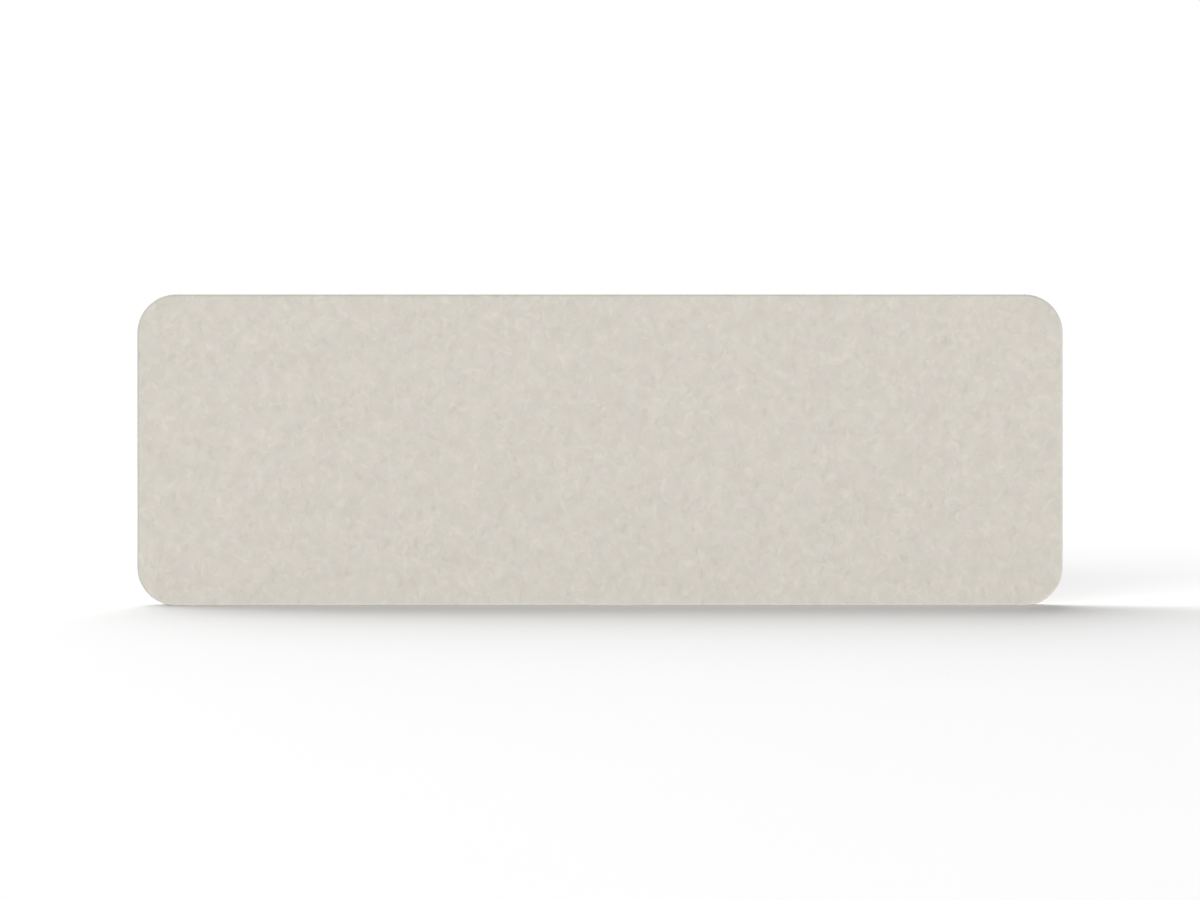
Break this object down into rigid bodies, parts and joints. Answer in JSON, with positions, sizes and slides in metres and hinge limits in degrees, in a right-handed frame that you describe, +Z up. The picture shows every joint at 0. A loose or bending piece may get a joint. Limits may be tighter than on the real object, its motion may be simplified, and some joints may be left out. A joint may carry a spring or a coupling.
{
  "type": "acoustic divider screen",
  "caption": "Low felt-covered acoustic screen with rounded corners, on a timber frame, with a zip and bracket inserts along its underside.",
  "frame": {"origin": "on the surface that the screen stands on, under the middle of its length and thickness", "axes": "+X along the screen's length to the right, +Y from the front face to the rear face, +Z up"},
  "size_m": [1.205, 0.04, 0.405],
  "materials": {
    "cover_felt": "matte",
    "rail_timber": "matte",
    "plywood": "matte",
    "dowel_beech": "matte",
    "absorber_fleece": "matte",
    "felt_board": "matte",
    "foam": "matte",
    "zip_tape": "matte",
    "zip_coil": "satin",
    "zip_metal": "satin",
    "insert_metal": "satin"
  },
  "bodies": {
    "screen": {"bottom_rail": "rail_timber", "top_rail": "rail_timber", "left_stile": "rail_timber", "right_stile": "rail_timber", "corner_block_bottom_left": "plywood", "corner_block_bottom_right": "plywood", "corner_block_top_left": "plywood", "corner_block_top_right": "plywood", "left_upright": "rail_timber", "right_upright": "rail_timber", "corner_dowels": "dowel_beech", "upright_dowels": "dowel_beech", "left_absorber": "absorber_fleece", "centre_absorber": "absorber_fleece", "right_absorber": "absorber_fleece", "front_facing": "felt_board", "rear_facing": "felt_board", "edge_foam": "foam", "front_cover": "cover_felt", "rear_cover": "cover_felt", "edge_band": "cover_felt", "front_zip_strip": "cover_felt", "rear_zip_strip": "cover_felt", "front_zip_tape": "zip_tape", "rear_zip_tape": "zip_tape", "front_zip_coil": "zip_coil", "rear_zip_coil": "zip_coil", "zip_top_stops": "zip_metal", "zip_bottom_stop": "zip_metal", "bracket_inserts": "insert_metal"},
    "zip_slider": {"zip_slider": "zip_metal"},
    "zip_pull": {"zip_pull": "zip_metal"}
  },
  "joints": [
    {"name": "zip_slide", "type": "slide", "parent": "screen", "child": "zip_slider", "axis": [-1, 0, 0], "range_m": [0, 0.8], "deforming": ["front_zip_coil", "rear_zip_coil"]},
    {"name": "pull_swing", "type": "hinge", "parent": "zip_slider", "child": "zip_pull", "pos_m": [0.39805, 0, 0.00355], "axis": [0, -1, 0], "range_deg": [0, 180]}
  ]
}
